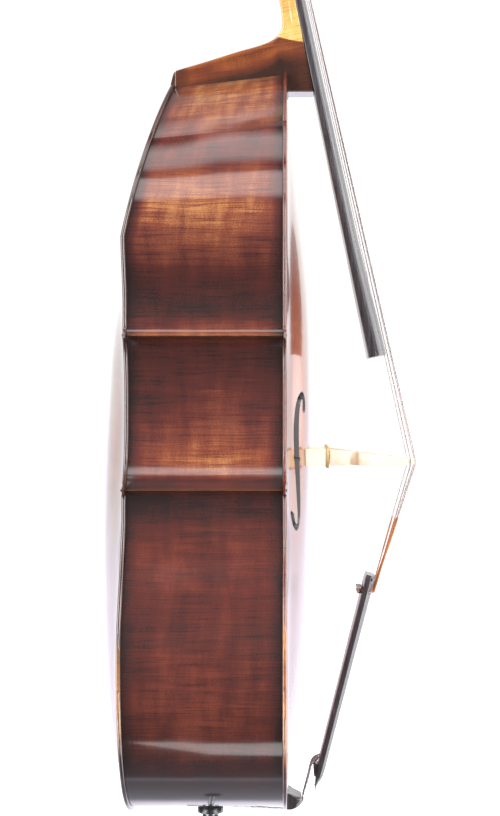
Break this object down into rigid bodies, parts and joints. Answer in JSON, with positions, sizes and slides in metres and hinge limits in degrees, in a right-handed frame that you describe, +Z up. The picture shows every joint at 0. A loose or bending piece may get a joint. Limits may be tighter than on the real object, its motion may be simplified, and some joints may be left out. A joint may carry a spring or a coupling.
{
  "type": "double bass",
  "caption": "Upright double bass with violin corners, arched plates, worm-gear tuning machines, a height-adjustable bridge, a wire-hung tailpiece and a sliding end pin.",
  "frame": {"origin": "middle of the rubber foot's underside, where the end pin meets the floor", "axes": "+Z up the instrument, -Y the playing side with the strings, -X the low-string side"},
  "size_m": [0.672, 0.4718, 1.9861],
  "materials": {
    "front_spruce": "amber-brown gloss varnish over straight-grained spruce",
    "back_maple": "red-brown gloss varnish over flamed maple",
    "rib_maple": "red-brown gloss varnish with golden centres over flamed maple",
    "raw_spruce": "bare wood, unfinished",
    "neck_maple": "golden oiled flamed maple, dark stained heel",
    "ebony": "polished black-brown ebony",
    "bridge_maple": "pale unvarnished maple",
    "adjuster_metal": "satin pale brass",
    "machine_brass": "polished brass",
    "roller_steel": "plated steel",
    "string_metal": "flat-wound steel, orange-red silk at the tailpiece end",
    "bright_steel": "bright steel",
    "foot_rubber": "matte black rubber"
  },
  "bodies": {
    "instrument": {"top_plate": "front_spruce", "back_plate": "back_maple", "rib_lower_bass": "rib_maple", "rib_lower_treble": "rib_maple", "rib_waist_bass": "rib_maple", "rib_waist_treble": "rib_maple", "rib_upper_bass": "rib_maple", "rib_upper_treble": "rib_maple", "end_block": "raw_spruce", "neck_block": "raw_spruce", "corner_block_lower_bass": "raw_spruce", "corner_block_lower_treble": "raw_spruce", "corner_block_upper_bass": "raw_spruce", "corner_block_upper_treble": "raw_spruce", "lining_front_bass": "raw_spruce", "lining_front_treble": "raw_spruce", "lining_back_bass": "raw_spruce", "lining_back_treble": "raw_spruce", "bass_bar": "raw_spruce", "sound_post": "raw_spruce", "neck_and_scroll": "neck_maple", "fingerboard": "ebony", "nut": "ebony", "saddle": "ebony", "tailpiece": "ebony", "endpin_collar": "ebony", "bridge_foot_bass": "bridge_maple", "bridge_foot_treble": "bridge_maple", "machine_plate_E": "machine_brass", "machine_plate_G": "machine_brass", "machine_plate_A": "machine_brass", "machine_plate_D": "machine_brass", "string_E": "string_metal", "string_A": "string_metal", "string_D": "string_metal", "string_G": "string_metal", "tail_wire": "bright_steel", "endpin_ferrule": "bright_steel"},
    "endpin": {"endpin_rod": "bright_steel", "endpin_tip": "foot_rubber"},
    "endpin_screw": {"endpin_thumbscrew": "bright_steel"},
    "bridge_body": {"bridge": "bridge_maple"},
    "adjuster_bass": {"bridge_adjuster_bass": "adjuster_metal"},
    "adjuster_treble": {"bridge_adjuster_treble": "adjuster_metal"},
    "roller_E": {"peg_E": "roller_steel", "peg_gear_E": "machine_brass"},
    "key_E": {"worm_key_E": "machine_brass"},
    "roller_G": {"peg_G": "roller_steel", "peg_gear_G": "machine_brass"},
    "key_G": {"worm_key_G": "machine_brass"},
    "roller_A": {"peg_A": "roller_steel", "peg_gear_A": "machine_brass"},
    "key_A": {"worm_key_A": "machine_brass"},
    "roller_D": {"peg_D": "roller_steel", "peg_gear_D": "machine_brass"},
    "key_D": {"worm_key_D": "machine_brass"}
  },
  "joints": [
    {"name": "endpin_slide", "type": "slide", "parent": "instrument", "child": "endpin", "axis": [0, 0, 1], "range_m": [-0.18, 0.1]},
    {"name": "endpin_screw_turn", "type": "hinge", "parent": "instrument", "child": "endpin_screw", "pos_m": [0, 0.02, 0.155], "axis": [0, 1, 0], "range_deg": [0, 360]},
    {"name": "adjuster_bass_turn", "type": "hinge", "parent": "instrument", "child": "adjuster_bass", "pos_m": [-0.058, -0.178, 0.7116], "axis": [0, -1, 0], "range_deg": [0, 1728]},
    {"name": "adjuster_treble_turn", "type": "hinge", "parent": "instrument", "child": "adjuster_treble", "pos_m": [0.058, -0.178, 0.7116], "axis": [0, -1, 0], "range_deg": [0, 1728]},
    {"name": "bridge_lift", "type": "slide", "parent": "instrument", "child": "bridge_body", "axis": [0, -1, 0], "range_m": [0, 0.006], "deforming": ["string_E", "string_A", "string_D", "string_G"]},
    {"name": "key_E_turn", "type": "hinge", "parent": "instrument", "child": "key_E", "pos_m": [-0.038, -0.02501, 1.78783], "axis": [0, 0.9798, -0.1999], "continuous": true},
    {"name": "roller_E_turn", "type": "hinge", "parent": "instrument", "child": "roller_E", "pos_m": [0, -0.03025, 1.76216], "axis": [1, 0, 0], "continuous": true},
    {"name": "key_G_turn", "type": "hinge", "parent": "instrument", "child": "key_G", "pos_m": [0.038, -0.01901, 1.81722], "axis": [0, 0.9798, -0.1999], "continuous": true},
    {"name": "roller_G_turn", "type": "hinge", "parent": "instrument", "child": "roller_G", "pos_m": [0, -0.02425, 1.79155], "axis": [1, 0, 0], "continuous": true},
    {"name": "key_A_turn", "type": "hinge", "parent": "instrument", "child": "key_A", "pos_m": [-0.038, -0.01222, 1.85054], "axis": [0, 0.9798, -0.1999], "continuous": true},
    {"name": "roller_A_turn", "type": "hinge", "parent": "instrument", "child": "roller_A", "pos_m": [0, -0.01745, 1.82486], "axis": [1, 0, 0], "continuous": true},
    {"name": "key_D_turn", "type": "hinge", "parent": "instrument", "child": "key_D", "pos_m": [0.038, -0.00622, 1.87993], "axis": [0, 0.9798, -0.1999], "continuous": true},
    {"name": "roller_D_turn", "type": "hinge", "parent": "instrument", "child": "roller_D", "pos_m": [0, -0.01146, 1.85426], "axis": [1, 0, 0], "continuous": true}
  ],
  "couplings": [
    {"joint": "adjuster_bass_turn", "follows": "bridge_lift", "rad_per_m": 5026.5},
    {"joint": "adjuster_treble_turn", "follows": "bridge_lift", "rad_per_m": 5026.5},
    {"joint": "roller_E_turn", "follows": "key_E_turn", "ratio": 0.041667},
    {"joint": "roller_G_turn", "follows": "key_G_turn", "ratio": -0.041667},
    {"joint": "roller_A_turn", "follows": "key_A_turn", "ratio": 0.041667},
    {"joint": "roller_D_turn", "follows": "key_D_turn", "ratio": -0.041667}
  ]
}
